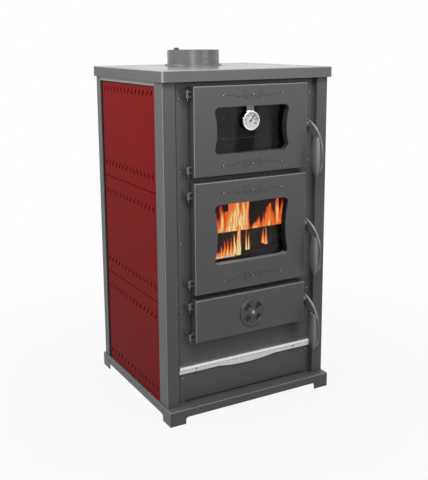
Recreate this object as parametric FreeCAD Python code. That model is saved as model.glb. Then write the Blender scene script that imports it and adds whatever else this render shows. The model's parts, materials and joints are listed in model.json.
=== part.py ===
import FreeCAD
import Part
import math
import os

# A wood cookstove with an oven above the fire and an ash box below it. Millimetres, +Z up, front towards -Y.
# The origin is on the floor, under the middle of the whole object with its handles.

# Running fits shared by all moving pieces
running_gap = 0.3
pin_clearance = 0.05
overrun = 5.0
edge_match = 0.003

# Doors, stacked from the ash door up to the oven door
door_width = 344.0
door_depth = 28.0
door_sheet = 2.5
door_round = 3.0
door_standoff = 3.0
door_gap = 15.0
door_top_gap = 12.0
oven_door_height = 228.0
fire_door_height = 294.0
ash_door_height = 115.0
liner_sheet = 2.0
mouth_lap = 20.0
seal_inset = 3.0
seal_width = 10.0

# Windows in the oven door and the fire door
window_side_margin = 55.0
oven_window_margin = 54.0
fire_window_margin = 67.0
fire_window_rise = 6.0
window_waist = 11.0
window_round = 13.0
glass_lap = 10.0
glass_thickness = 4.0

# Corner posts, folded from sheet, with a return that frames the front plate
post_sheet = 3.0
post_round = 3.0
post_front_leg = 35.0
post_rear_leg = 35.0
front_post_side_leg = 45.0
rear_post_side_leg = 31.0
front_recess = 14.5
hinge_strip = 43.0

# Body depth over the posts, and height from the base to the ash door
body_depth = 440.0
plinth_height = 173.0

# Base frame with corner feet
base_height = 40.0
base_side_overhang = 4.0
base_front_overhang = 24.0
base_rear_overhang = 8.0
base_sheet = 3.0
base_round = 2.0
foot_height = 18.0
foot_length = 46.0
foot_round = 8.0

# Front plate
front_sheet = 3.0
bead_width = 3.0
bead_height = 2.0
slit_height = 5.0
slit_inset = 22.0
screw_head = 7.0
screw_height = 2.0
screw_edge = 12.5
screw_top_drop = 42.0
screw_bottom_rise = 72.0
front_screw_count = 5

# Trim rail across the plinth
rail_rise = 84.0
rail_height = 20.0
rail_thickness = 5.0
rail_ridge = 8.0
rail_ridge_lift = 3.0
rail_groove = 2.0
rail_groove_depth = 3.0
rail_belly = 7.0
rail_belly_width = 180.0
rail_screw_inset = 53.0

# Red side panels and the rail above them
panel_sheet = 2.0
panel_seam = 2.0
panel_top_gap = 12.0
lower_panel_height = 277.5
middle_panel_height = 287.5
slot_count = 14
slot_length = 18.0
slot_width = 4.5
slot_lean = 33.0
slot_row_drop = 42.0
slot_row_rise = 39.0
lowest_row_rise = 30.0
side_rail_drop = 11.0
rear_sheet = 2.0

# Hob plate
hob_thickness = 6.0
hob_side_overhang = 6.0
hob_front_overhang = 14.0
hob_rear_overhang = 8.0
rim_height = 28.0
rim_sheet = 4.0
hob_corner = 8.0
hob_edge = 3.0
vent_count = 9
vent_length = 24.0
vent_width = 4.0
vent_inset = 21.0
vent_end = 38.0

# Flue collar
flue_diameter = 150.0
flue_wall = 2.5
flue_height = 45.0
flue_setback = 90.0
flange_width = 8.0
flange_height = 5.0
flange_round = 2.0
flange_seat = 1.0
flue_hole = 5.0
flue_hole_rise = 19.0
flue_lug_width = 18.0
flue_lug_height = 6.0
flue_lug_angle = 105.0

# Smoke shell, oven box and rack
shell_gap = 57.0
shell_back_gap = 30.0
shell_sheet = 2.5
oven_sheet = 2.5
oven_back_gap = 50.0
runner_width = 12.0
runner_sheet = 3.0
runner_rise = 62.0
rack_side_gap = 4.0
rack_end_gap = 24.0
rack_rail = 6.0
rack_rod = 4.0
rack_rod_count = 13

# Firebox, grate, bricks, ash floor and ash pan
floor_sheet = 4.0
grate_width = 240.0
grate_depth = 240.0
grate_thickness = 12.0
grate_lap = 10.0
grate_slot = 9.0
grate_slot_count = 9
brick_thickness = 28.0
brick_height = 190.0
pan_side_gap = 12.0
pan_front_gap = 10.0
pan_back_gap = 60.0
pan_height = 55.0
pan_sheet = 2.0
pan_grip_width = 80.0
pan_grip_height = 10.0

# Hinges on the left edge of each door
hinge_offset = 11.0
pin_diameter = 5.0
pin_head = 8.0
pin_head_height = 2.0
pin_tail = 9.0
knuckle_diameter = 9.0
knuckle_length = 9.0
lug_length = 4.0
hinge_arm = 5.0
hinge_foot_width = 16.0
hinge_foot_height = 18.0
hinge_foot_sheet = 3.0
oven_hinge_inset = 19.0
fire_hinge_inset = 31.0
ash_hinge_inset = 15.0

# Handles on the right edge of each door
stud_shoulder = 12.0
stud_shoulder_length = 2.0
stud_diameter = 8.0
stud_head = 13.0
stud_head_length = 3.0
lever_boss = 16.0
lever_boss_length = 9.0
lever_sheet = 6.0
lever_reach = 66.0
lever_drop = 140.0
lever_root_rise = 13.0
lever_root_fall = 17.0
hook_length = 13.0
hook_height = 8.0
hook_inset = 1.0
keeper_gap = 0.5
keeper_depth = 8.0
keeper_height = 9.0
grip_width = 42.0
grip_thickness = 28.0
grip_drop = 31.0

# Air rosette on the ash door
rosette_diameter = 76.0
rosette_sheet = 3.0
rosette_rim = 4.0
rosette_rim_lift = 1.5
rosette_rib = 8.0
rosette_rib_lift = 1.5
rosette_hub = 20.0
rosette_port_inner = 28.0
rosette_port_outer = 62.0
rosette_port_angle = 46.0
rosette_port_round = 3.5
rosette_port_frame = 2.0
rosette_groove = 3.0
rosette_screw_shank = 6.0
rosette_screw_head = 12.0
rosette_screw_height = 3.0

# Oven thermometer
thermo_diameter = 50.0
thermo_depth = 8.0
thermo_wall = 2.0
thermo_bezel = 3.0
thermo_drop = 39.0
thermo_setback = 6.5
thermo_tab_width = 22.0
dial_sheet = 1.0
lens_sheet = 1.5
needle_length = 16.0
needle_tail = 6.0
needle_width = 2.0
needle_sheet = 0.8
needle_hub = 5.0
needle_angle = 40.0

# Screws in the door skins
door_screw_spread = 89.0
oven_screw_inset = 24.5
fire_screw_inset = 30.0

# Shares of the lever and grip outlines, counted from the pivot
lever_tip_reach_share = 0.62
lever_bow_drop_share = 0.464
lever_neck_reach_share = 0.49
lever_neck_drop_share = 0.22
lever_inner_reach_share = 0.57
lever_inner_drop_share = 0.6
lever_root_reach_share = -0.04
grip_reach_share = 0.62
grip_shares = ((0.0, 0.62), (0.12, 0.74), (0.32, 0.92), (0.55, 1.0), (0.78, 0.82), (0.93, 0.45), (1.0, 0.2))
screw_dome_share = 0.6

# Planes and levels worked out from the sizes above
door_half = door_width / 2
body_width = door_width + 2 * (hinge_strip + post_front_leg)
half_w = body_width / 2
half_d = body_depth / 2
plate_half = half_w - post_front_leg
ash_bottom = base_height + plinth_height
ash_top = ash_bottom + ash_door_height
fire_bottom = ash_top + door_gap
fire_top = fire_bottom + fire_door_height
oven_bottom = fire_top + door_gap
oven_top = oven_bottom + oven_door_height
rim_bottom = oven_top + door_top_gap
stove_height = rim_bottom + rim_height
hob_under = stove_height - hob_thickness
collar_bottom = stove_height - flange_seat
flange_diameter = flue_diameter + 2 * flange_width
front_face = front_recess - half_d
front_back = front_face + front_sheet
door_back = front_face - door_standoff
door_front = door_back - door_depth
door_middle = (door_front + door_back) / 2
mouth_half = door_half - mouth_lap
shell_half = half_w - shell_gap
shell_inner = shell_half - shell_sheet
shell_back = half_d - shell_back_gap
shell_inner_back = shell_back - shell_sheet
fire_floor_top = fire_bottom + mouth_lap
ash_floor_top = ash_bottom + mouth_lap
oven_back = shell_inner_back - oven_back_gap
oven_middle = (oven_bottom + oven_top) / 2
fire_middle = (fire_bottom + fire_top) / 2
ash_middle = (ash_bottom + ash_top) / 2
window_half = door_half - window_side_margin
oven_window = oven_door_height / 2 - oven_window_margin
fire_window = fire_door_height / 2 - fire_window_margin
reveal_back = door_back - liner_sheet - glass_thickness
hinge_x = -door_half - hinge_offset
lever_x = door_half + stud_shoulder_length + running_gap + lever_boss_length
door_span = {"oven": (oven_bottom, oven_top), "fire": (fire_bottom, fire_top), "ash": (ash_bottom, ash_top)}
door_centre = {name: (low + high) / 2 for name, (low, high) in door_span.items()}
hinge_inset = {"oven": oven_hinge_inset, "fire": fire_hinge_inset, "ash": ash_hinge_inset}
window_tall = {"oven": oven_window, "fire": fire_window}
window_middle = {"oven": oven_middle, "fire": fire_middle + fire_window_rise}

X_AXIS = FreeCAD.Vector(1, 0, 0)
Y_AXIS = FreeCAD.Vector(0, 1, 0)
Z_AXIS = FreeCAD.Vector(0, 0, 1)


def point(x, y, z):
    return FreeCAD.Vector(x, y, z)


def block(x0, x1, y0, y1, z0, z1):
    return Part.makeBox(x1 - x0, y1 - y0, z1 - z0, point(x0, y0, z0))


def rod(diameter, start, axis, length):
    return Part.makeCylinder(diameter / 2, length, start, axis)


def fuse(shapes):
    return shapes[0].multiFuse(shapes[1:]).removeSplitter()


def mirrored(shape):
    return shape.mirror(point(0, 0, 0), X_AXIS)


def edges_along(shape, axis):
    picked = []
    for edge in shape.Edges:
        run = edge.Vertexes[-1].Point - edge.Vertexes[0].Point
        if run.Length > 0 and abs(run.normalize().dot(axis)) > math.cos(math.radians(1)):
            picked.append(edge)
    return picked


def edges_at(shape, axis, place):
    """Edges that lie in the plane at this place along the axis."""
    def in_plane(edge):
        return all(abs(v.Point.dot(axis) - place) < edge_match for v in edge.Vertexes)

    return [edge for edge in shape.Edges if in_plane(edge)]


def prism(edges, holes, run):
    outline = Part.Wire(edges)
    if not holes:
        return Part.Face(outline).extrude(run)
    return Part.makeFace([outline] + holes, "Part::FaceMakerBullseye").extrude(run)


def line(a, b):
    return Part.LineSegment(a, b).toShape()


def loop(points):
    return [line(a, b) for a, b in zip(points, points[1:] + points[:1])]


def arc(a, b, c):
    return Part.Arc(a, b, c).toShape()


def slot_wire(centre, along, across, length, width):
    """A round-ended slot in the plane of two unit directions."""
    reach = along * ((length - width) / 2)
    side = across * (width / 2)
    tip = along * (length / 2)
    lines = [(centre - reach + side, centre + reach + side), (centre + reach - side, centre - reach - side)]
    first, second = [line(a, b) for a, b in lines]
    far = arc(lines[0][1], centre + tip, lines[1][0])
    near = arc(lines[1][1], centre - tip, lines[0][0])
    return Part.Wire([first, far, second, near])


def dome_screw(x, face, z, head, height):
    """A screw head on a face that looks towards the front."""
    screw = rod(head, point(x, face, z), -Y_AXIS, height)
    return screw.makeFillet(height * screw_dome_share, edges_at(screw, Y_AXIS, face - height))


def base_frame():
    half_x = half_w + base_side_overhang
    front = -half_d - base_front_overhang
    rear = half_d + base_rear_overhang
    outer = block(-half_x, half_x, front, rear, 0, base_height)
    outer = outer.makeFillet(base_round, edges_along(outer, Z_AXIS) + edges_at(outer, Z_AXIS, base_height))
    inner_x = half_x - base_sheet
    hollow = block(-inner_x, inner_x, front + base_sheet, rear - base_sheet,
                   -overrun, base_height - base_sheet)
    gap_x = half_x - foot_length
    long_gap = block(-gap_x, gap_x, front - overrun, rear + overrun, -overrun, foot_height)
    side_gap = block(-half_x - overrun, half_x + overrun, front + foot_length, rear - foot_length,
                     -overrun, foot_height)
    long_corners = [e for e in edges_along(long_gap, Y_AXIS) if e.CenterOfMass.z > 0]
    side_corners = [e for e in edges_along(side_gap, X_AXIS) if e.CenterOfMass.z > 0]
    long_gap = long_gap.makeFillet(foot_round, long_corners)
    side_gap = side_gap.makeFillet(foot_round, side_corners)
    return outer.cut(hollow).cut(long_gap).cut(side_gap)


def post(leg, side_leg, back_turned, return_depth):
    """A left post: a leg along the front or rear, a leg along the side, and a return where the leg ends."""
    step = -1 if back_turned else 1
    start = half_d if back_turned else -half_d
    legs = [(-half_w, -half_w + leg, start, start + step * post_sheet),
            (-half_w, -half_w + post_sheet, start, start + step * side_leg)]
    if return_depth > 0:
        legs.append((-half_w + leg - post_sheet, -half_w + leg, start, start + step * return_depth))
    sheets = [block(x0, x1, min(y0, y1), max(y0, y1), base_height, hob_under) for x0, x1, y0, y1 in legs]
    folded = fuse(sheets)
    corner = point(-half_w, start, (base_height + hob_under) / 2)
    fold = [e for e in edges_along(folded, Z_AXIS) if (e.CenterOfMass - corner).Length < post_sheet / 2]
    return folded.makeFillet(post_round, fold)


def door_mouth(low, high):
    return block(-mouth_half, mouth_half, front_face - overrun, front_back + overrun,
                 low + mouth_lap, high - mouth_lap)


def front_plate():
    plate = block(-plate_half, plate_half, front_face, front_back, base_height, hob_under)
    bead_outer = plate_half - post_sheet
    bead = block(bead_outer - bead_width, bead_outer, front_face - bead_height, front_face,
                 base_height, rim_bottom)
    plate = fuse([plate, bead, mirrored(bead)])
    slit_half = plate_half - slit_inset
    slit = block(-slit_half, slit_half, front_face - overrun, front_back + overrun,
                 base_height - overrun, base_height + slit_height)
    return plate.cut([door_mouth(low, high) for low, high in door_span.values()] + [slit])


def rail_half():
    return plate_half - post_sheet - bead_width


def trim_rail():
    half = rail_half()
    low = base_height + rail_rise
    high = low + rail_height
    belly = rail_belly_width / 2
    y = front_face
    corners = [point(half, y, low), point(half, y, high), point(-half, y, high), point(-half, y, low)]
    sag = arc(point(-belly, y, low), point(0, y, low - rail_belly), point(belly, y, low))
    edges = [line(a, b) for a, b in zip(corners, corners[1:])]
    edges += [line(corners[-1], point(-belly, y, low)), sag, line(point(belly, y, low), corners[0])]
    band = prism(edges, [], point(0, -rail_thickness, 0))
    ridge = block(-half, half, front_face - rail_thickness - rail_ridge_lift, front_face,
                  high - rail_ridge, high)
    groove_top = high - rail_ridge
    groove = block(-half - overrun, half + overrun, front_face - rail_thickness - overrun,
                   front_face - rail_thickness + rail_groove_depth, groove_top - rail_groove, groove_top)
    return fuse([band, ridge]).cut(groove)


def front_screws():
    top = rim_bottom - screw_top_drop
    bottom = base_height + screw_bottom_rise
    pitch = (top - bottom) / (front_screw_count - 1)
    across = plate_half - post_sheet - screw_edge
    heads = []
    for step in range(front_screw_count):
        level = bottom + step * pitch
        for side in (-1, 1):
            heads.append(dome_screw(side * across, front_face, level, screw_head, screw_height))
    middle = base_height + rail_rise + (rail_height - rail_ridge - rail_groove) / 2
    for side in (-1, 1):
        x = side * (rail_half() - rail_screw_inset)
        heads.append(dome_screw(x, front_face - rail_thickness, middle, screw_head, screw_height))
    return Part.makeCompound(heads)


def rear_panel():
    half = half_w - post_sheet
    outer = half_d - post_sheet
    return block(-half, half, outer - rear_sheet, outer, base_height, hob_under)


def side_opening():
    return front_post_side_leg - half_d, half_d - rear_post_side_leg


def slot_row(x, z, turned):
    """A row of slots that lean towards the middle at one end, or away from it when turned."""
    front, rear = side_opening()
    pitch = (rear - front) / (slot_count + 1)
    lean = math.radians(slot_lean)
    wires = []
    for step in range(slot_count):
        side = 1 if step < slot_count / 2 else -1
        tilt = lean * side * (-1 if turned else 1)
        along = point(0, -math.sin(tilt), math.cos(tilt))
        across = point(0, math.cos(tilt), math.sin(tilt))
        centre = point(x, front + (step + 1) * pitch, z)
        wires.append(slot_wire(centre, along, across, slot_length, slot_width))
    return wires


def side_panel(low, high, row_rise):
    x = post_sheet - half_w
    front = post_sheet - half_d
    rear = half_d - post_sheet - rear_sheet
    corners = [point(x, front, low), point(x, rear, low), point(x, rear, high), point(x, front, high)]
    rows = slot_row(x, high - slot_row_drop, False) + slot_row(x, low + row_rise, True)
    return prism(loop(corners), rows, point(panel_sheet, 0, 0))


def side_panels():
    lower_top = base_height + lower_panel_height
    middle_top = lower_top + panel_seam + middle_panel_height
    levels = {"lower": (base_height, lower_top), "middle": (lower_top + panel_seam, middle_top),
              "upper": (middle_top + panel_seam, hob_under - panel_top_gap)}
    pieces = {}
    for name, (low, high) in levels.items():
        panel = side_panel(low, high, lowest_row_rise if name == "lower" else slot_row_rise)
        pieces["side_panel_left_" + name] = panel
        pieces["side_panel_right_" + name] = mirrored(panel)
    return pieces


def side_rail():
    front, rear = side_opening()
    return block(-half_w, post_sheet - half_w, front, rear, rim_bottom - side_rail_drop, hob_under)


def flue_centre(z):
    return point(0, flue_setback, z)


def hob_plate():
    half_x = half_w + hob_side_overhang
    front = -half_d - hob_front_overhang
    rear = half_d + hob_rear_overhang
    outer = block(-half_x, half_x, front, rear, rim_bottom, stove_height)
    outer = outer.makeFillet(hob_corner, edges_along(outer, Z_AXIS))
    outer = outer.makeFillet(hob_edge, edges_at(outer, Z_AXIS, stove_height))
    inner_x = half_x - rim_sheet
    hollow = block(-inner_x, inner_x, front + rim_sheet, rear - rim_sheet, rim_bottom - overrun, hob_under)
    flue = rod(flue_diameter - 2 * flue_wall, flue_centre(hob_under - overrun), Z_AXIS,
               hob_thickness + 2 * overrun)
    seat = rod(flange_diameter + 2 * running_gap, flue_centre(collar_bottom), Z_AXIS, flange_seat + overrun)
    first = front + vent_end
    pitch = (rear - vent_end - first) / (vent_count - 1)
    cutters = [hollow, flue, seat]
    for step in range(vent_count):
        for side in (-1, 1):
            centre = point(side * (half_x - vent_inset), first + step * pitch, hob_under - overrun)
            wire = slot_wire(centre, Y_AXIS, X_AXIS, vent_length, vent_width)
            cutters.append(Part.Face(wire).extrude(point(0, 0, hob_thickness + 2 * overrun)))
    return outer.cut(cutters)


def flue_collar():
    base = flue_centre(collar_bottom)
    flange = rod(flange_diameter, base, Z_AXIS, flange_height)
    flange = flange.makeFillet(flange_round, edges_at(flange, Z_AXIS, collar_bottom + flange_height))
    tube = rod(flue_diameter, base, Z_AXIS, flue_height)
    lug_ring = rod(flue_diameter, base, Z_AXIS, flue_height + flue_lug_height)
    lug_slab = block(flue_diameter / 4, flue_diameter / 2 + overrun, -flue_lug_width / 2, flue_lug_width / 2,
                     collar_bottom, collar_bottom + flue_height + flue_lug_height)
    lug_slab.rotate(point(0, 0, 0), Z_AXIS, flue_lug_angle)
    lug_slab.translate(flue_centre(0))
    body = fuse([flange, tube, lug_ring.common(lug_slab)])
    bore = rod(flue_diameter - 2 * flue_wall, flue_centre(collar_bottom - overrun), Z_AXIS,
               flue_height + flue_lug_height + 2 * overrun)
    hole = rod(flue_hole, flue_centre(collar_bottom + flue_hole_rise), -Y_AXIS, flue_diameter)
    return body.cut([bore, hole])


def smoke_shell():
    low = ash_floor_top - floor_sheet
    left = block(-shell_half, -shell_inner, front_back, shell_back, low, hob_under)
    rear = block(-shell_inner, shell_inner, shell_inner_back, shell_back, low, hob_under)
    return fuse([left, rear, mirrored(left)])


def runner_top():
    return oven_bottom + mouth_lap + runner_rise


def oven_box():
    low = oven_bottom + mouth_lap
    high = oven_top - mouth_lap
    half = mouth_half + oven_sheet
    outer = block(-half, half, front_back, oven_back, low - oven_sheet, high + oven_sheet)
    hollow = block(-mouth_half, mouth_half, front_back - overrun, oven_back - oven_sheet, low, high)
    runner = block(-mouth_half, -mouth_half + runner_width, front_back, oven_back - oven_sheet,
                   runner_top() - runner_sheet, runner_top())
    return fuse([outer.cut(hollow), runner, mirrored(runner)])


def oven_rack():
    half = mouth_half - rack_side_gap
    front = front_back + rack_end_gap
    rear = oven_back - oven_sheet - rack_end_gap
    z = runner_top() + running_gap + rack_rail / 2
    bars = [rod(rack_rail, point(-half, y, z), X_AXIS, 2 * half) for y in (front, rear)]
    inset = half - runner_width - rack_rod
    pitch = 2 * inset / (rack_rod_count - 1)
    for step in range(rack_rod_count):
        bars.append(rod(rack_rod, point(-inset + step * pitch, front, z), Y_AXIS, rear - front))
    return fuse(bars)


def fire_bed():
    """Middle of the fire bed, between the front plate and the rear brick."""
    return (front_back + shell_inner_back - brick_thickness) / 2


def firebox_floor():
    plate = block(-shell_inner, shell_inner, front_back, shell_inner_back,
                  fire_floor_top - floor_sheet, fire_floor_top)
    half_x = grate_width / 2 - grate_lap
    half_y = grate_depth / 2 - grate_lap
    hole = block(-half_x, half_x, fire_bed() - half_y, fire_bed() + half_y,
                 fire_floor_top - floor_sheet - overrun, fire_floor_top + overrun)
    return plate.cut(hole)


def fire_grate():
    half_x = grate_width / 2
    half_y = grate_depth / 2
    z = fire_floor_top
    y = fire_bed()
    corners = [point(-half_x, y - half_y, z), point(half_x, y - half_y, z),
               point(half_x, y + half_y, z), point(-half_x, y + half_y, z)]
    pitch = grate_width / (grate_slot_count + 1)
    length = grate_depth - 2 * (grate_lap + grate_slot)
    slots = []
    for step in range(grate_slot_count):
        centre = point(-half_x + (step + 1) * pitch, y, z)
        slots.append(slot_wire(centre, Y_AXIS, X_AXIS, length, grate_slot))
    return prism(loop(corners), slots, point(0, 0, grate_thickness))


def firebricks():
    high = fire_floor_top + brick_height
    rear_face = shell_inner_back - brick_thickness
    left = block(-shell_inner, brick_thickness - shell_inner, front_back, rear_face, fire_floor_top, high)
    rear = block(-shell_inner, shell_inner, rear_face, shell_inner_back, fire_floor_top, high)
    return {"firebrick_left": left, "firebrick_right": mirrored(left), "firebrick_rear": rear}


def ash_floor():
    return block(-shell_inner, shell_inner, front_back, shell_inner_back,
                 ash_floor_top - floor_sheet, ash_floor_top)


def ash_pan():
    """A tray that is open at the front, and the front plate with its finger tab."""
    half = mouth_half - pan_side_gap
    front = front_back + pan_front_gap
    inner_front = front + pan_sheet
    rear = shell_inner_back - pan_back_gap
    high = ash_floor_top + pan_height
    tray = block(-half, half, inner_front, rear, ash_floor_top, high)
    hollow = block(pan_sheet - half, half - pan_sheet, inner_front - overrun, rear - pan_sheet,
                   ash_floor_top + pan_sheet, high + overrun)
    plate = block(-half, half, front, inner_front, ash_floor_top, high)
    grip_half = pan_grip_width / 2
    tab = block(-grip_half, grip_half, front, inner_front, high, high + pan_grip_height)
    return {"ash_pan": tray.cut(hollow), "ash_pan_front": fuse([plate, tab])}


def hinge_levels():
    levels = []
    for name, (low, high) in door_span.items():
        levels += [low + hinge_inset[name], high - hinge_inset[name]]
    return levels


def hinge_bore(z):
    span = knuckle_length + 2 * (lug_length + running_gap + overrun)
    return rod(pin_diameter + 2 * pin_clearance, point(hinge_x, door_middle, z - span / 2), Z_AXIS, span)


def hinge_brackets():
    brackets = []
    for z in hinge_levels():
        low = z - knuckle_length / 2
        knuckle = rod(knuckle_diameter, point(hinge_x, door_middle, low), Z_AXIS, knuckle_length)
        arm = block(hinge_x - hinge_arm / 2, hinge_x + hinge_arm / 2, door_middle, front_face,
                    low, low + knuckle_length)
        foot = block(hinge_x - hinge_foot_width / 2, hinge_x + hinge_foot_width / 2,
                     front_face - hinge_foot_sheet, front_face,
                     z - hinge_foot_height / 2, z + hinge_foot_height / 2)
        brackets.append(fuse([knuckle, arm, foot]).cut(hinge_bore(z)))
    return Part.makeCompound(brackets)


def hinge_pins():
    half = knuckle_length / 2 + running_gap + lug_length
    pins = []
    for z in hinge_levels():
        shank = rod(pin_diameter, point(hinge_x, door_middle, z - half - pin_tail), Z_AXIS,
                    2 * half + pin_tail + running_gap)
        head = rod(pin_head, point(hinge_x, door_middle, z + half + running_gap), Z_AXIS, pin_head_height)
        pins.append(fuse([shank, head]))
    return Part.makeCompound(pins)


def hinge_lugs(z):
    """The two ears on a door that turn on one hinge pin."""
    ears = []
    step = knuckle_length / 2 + running_gap
    for low in (z + step, z - step - lug_length):
        eye = rod(knuckle_diameter, point(hinge_x, door_middle, low), Z_AXIS, lug_length)
        arm = block(hinge_x, -door_half, door_middle - hinge_arm / 2, door_middle + hinge_arm / 2,
                    low, low + lug_length)
        ears.append(fuse([eye, arm]))
    return ears


def window_prism(grow, y0, y1, z, tall):
    """The window outline with drawn-in sides and rounded corners, as a block from y0 to y1."""
    side = window_half + grow
    waist = side - window_waist
    rise = tall + grow
    top_left, top_right = point(-side, y0, z + rise), point(side, y0, z + rise)
    low_left, low_right = point(-side, y0, z - rise), point(side, y0, z - rise)
    edges = [line(top_left, top_right), arc(top_right, point(waist, y0, z), low_right),
             line(low_right, low_left), arc(low_left, point(-waist, y0, z), top_left)]
    solid = prism(edges, [], point(0, y1 - y0, 0))
    return solid.makeFillet(window_round + grow, edges_along(solid, Y_AXIS))


def door_skin(name):
    low, high = door_span[name]
    outer = block(-door_half, door_half, door_front, door_back, low, high)
    outer = outer.makeFillet(door_round, edges_at(outer, Y_AXIS, door_front))
    hollow = block(door_sheet - door_half, door_half - door_sheet,
                   door_front + door_sheet, door_back + overrun, low + door_sheet, high - door_sheet)
    pan = outer.cut(hollow)
    if name in window_tall:
        z = window_middle[name]
        sleeve = window_prism(door_sheet, door_front + door_sheet, reveal_back, z, window_tall[name])
        opening = window_prism(0, door_front - overrun, reveal_back + overrun, z, window_tall[name])
        pan = fuse([pan, sleeve]).cut(opening)
    else:
        shut_turn = 45
        pan = pan.cut(rosette_ports(door_front - overrun, door_front + door_sheet + overrun, 0, shut_turn))
    ears = hinge_lugs(low + hinge_inset[name]) + hinge_lugs(high - hinge_inset[name])
    bores = [hinge_bore(low + hinge_inset[name]), hinge_bore(high - hinge_inset[name])]
    return fuse([pan] + ears).cut(bores)


def door_liner(name):
    low, high = door_span[name]
    half = door_half - door_sheet
    front = door_back - liner_sheet
    plate = block(-half, half, front, door_back, low + door_sheet, high - door_sheet)
    z = window_middle.get(name, ash_middle)
    across = window_half if name in window_tall else rosette_diameter / 2
    rise = window_tall.get(name, rosette_diameter / 2)
    return plate.cut(block(-across, across, front - overrun, door_back + overrun, z - rise, z + rise))


def door_glass(name):
    half = window_half + glass_lap
    rise = window_tall[name] + glass_lap
    z = window_middle[name]
    return block(-half, half, reveal_back, reveal_back + glass_thickness, z - rise, z + rise)


def door_seal(name):
    low, high = door_span[name]
    inner_x = mouth_half + seal_inset
    inner_z = (high - low) / 2 - mouth_lap + seal_inset
    z = door_centre[name]
    rear = front_face - running_gap
    outer = block(-inner_x - seal_width, inner_x + seal_width, door_back, rear,
                  z - inner_z - seal_width, z + inner_z + seal_width)
    return outer.cut(block(-inner_x, inner_x, door_back - overrun, rear + overrun, z - inner_z, z + inner_z))


def handle_stud(name):
    """A shouldered stud on the right side of the door that the lever turns on."""
    z = door_centre[name]
    shoulder = rod(stud_shoulder, point(door_half, door_middle, z), X_AXIS, stud_shoulder_length)
    grip_end = lever_x + lever_sheet + running_gap
    shank = rod(stud_diameter, point(door_half, door_middle, z), X_AXIS, grip_end - door_half)
    head = rod(stud_head, point(grip_end, door_middle, z), X_AXIS, stud_head_length)
    return fuse([shoulder, shank, head])


def door_fasteners(name):
    low, high = door_span[name]
    solids = [handle_stud(name)]
    if name == "ash":
        solids.append(rosette_screw())
    else:
        inset = oven_screw_inset if name == "oven" else fire_screw_inset
        for z in (low + inset, high - inset):
            for side in (-1, 0, 1):
                solids.append(dome_screw(side * door_screw_spread, door_front, z, screw_head, screw_height))
    return Part.makeCompound(solids)


def lever_point(reach, drop, name):
    return point(lever_x, door_middle - reach, door_centre[name] - drop)


def lever_outline(name):
    """A crescent from the pivot out and down to the tip, starting with its outer bow."""
    root = lever_reach * lever_root_reach_share
    top = lever_point(root, -lever_root_rise, name)
    bow = lever_point(lever_reach, lever_drop * lever_bow_drop_share, name)
    tip = lever_point(lever_reach * lever_tip_reach_share, lever_drop, name)
    inner = lever_point(lever_reach * lever_inner_reach_share, lever_drop * lever_inner_drop_share, name)
    neck = lever_point(lever_reach * lever_neck_reach_share, lever_drop * lever_neck_drop_share, name)
    heel = lever_point(root, lever_root_fall, name)
    return [arc(top, bow, tip), arc(tip, inner, neck), line(neck, heel), line(heel, top)]


def handle_lever(name):
    """The flat crescent with a boss and a latch hook on the door side."""
    z = door_centre[name]
    plate = prism(lever_outline(name), [], point(lever_sheet, 0, 0))
    boss_start = lever_x - lever_boss_length
    boss = rod(lever_boss, point(boss_start, door_middle, z), X_AXIS, lever_boss_length + lever_sheet)
    hook = block(boss_start + hook_inset, lever_x - hook_inset, door_middle, door_middle + hook_length,
                 z - hook_height / 2, z + hook_height / 2)
    bore = rod(stud_diameter + 2 * pin_clearance, point(boss_start - overrun, door_middle, z), X_AXIS,
               lever_boss_length + lever_sheet + 2 * overrun)
    return fuse([plate, boss, hook]).cut(bore)


def handle_grip(name):
    """A leaf-shaped grip in two halves, one on each side of the lever."""
    centre_x = lever_x + lever_sheet / 2
    y = door_middle - lever_reach * grip_reach_share
    top = door_centre[name] - grip_drop
    length = lever_drop - grip_drop
    rings = []
    for drop_share, size_share in grip_shares:
        long_half = grip_width / 2 * size_share
        short_half = grip_thickness / 2 * size_share
        ring = Part.Ellipse(point(0, 0, 0), long_half, short_half).toShape()
        ring.rotate(point(0, 0, 0), Z_AXIS, 90)
        ring.translate(point(centre_x, y, top - length * drop_share))
        rings.append(Part.Wire([ring]))
    leaf = Part.makeLoft(rings, True)
    slab = block(lever_x, lever_x + lever_sheet, y - grip_width, y + grip_width,
                 top - lever_drop, top + lever_drop)
    return Part.makeCompound(leaf.cut(slab).Solids)


def latch_keepers():
    """Blocks on the front plate above each latch hook."""
    x0 = lever_x - lever_boss_length + hook_inset
    x1 = lever_x - hook_inset
    blocks = []
    for z in door_centre.values():
        low = z + hook_height / 2 + keeper_gap
        blocks.append(block(x0, x1, front_face - keeper_depth, front_face, low, low + keeper_height))
    return Part.makeCompound(blocks)


def polar(radius, degrees, y):
    """A point on the ash door's rosette at this radius and angle."""
    turn = math.radians(degrees)
    return point(radius * math.cos(turn), y, ash_middle + radius * math.sin(turn))


def rosette_ports(y0, y1, grow, turn):
    """Four round-cornered air ports between two radii, on the diagonals or turned away from them."""
    ports = []
    inner = rosette_port_inner / 2 - grow
    outer = rosette_port_outer / 2 + grow
    half = rosette_port_angle / 2 + math.degrees(grow / outer)
    for quarter in range(4):
        middle = 45 + 90 * quarter + turn
        low = middle - half
        high = middle + half
        rim = arc(polar(outer, low, y0), polar(outer, middle, y0), polar(outer, high, y0))
        hub = arc(polar(inner, high, y0), polar(inner, middle, y0), polar(inner, low, y0))
        edges = [rim, line(polar(outer, high, y0), polar(inner, high, y0)), hub,
                 line(polar(inner, low, y0), polar(outer, low, y0))]
        port = prism(edges, [], point(0, y1 - y0, 0))
        ports.append(port.makeFillet(rosette_port_round + grow, edges_along(port, Y_AXIS)))
    return ports


def rosette_front():
    return door_front - running_gap - rosette_sheet


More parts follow.
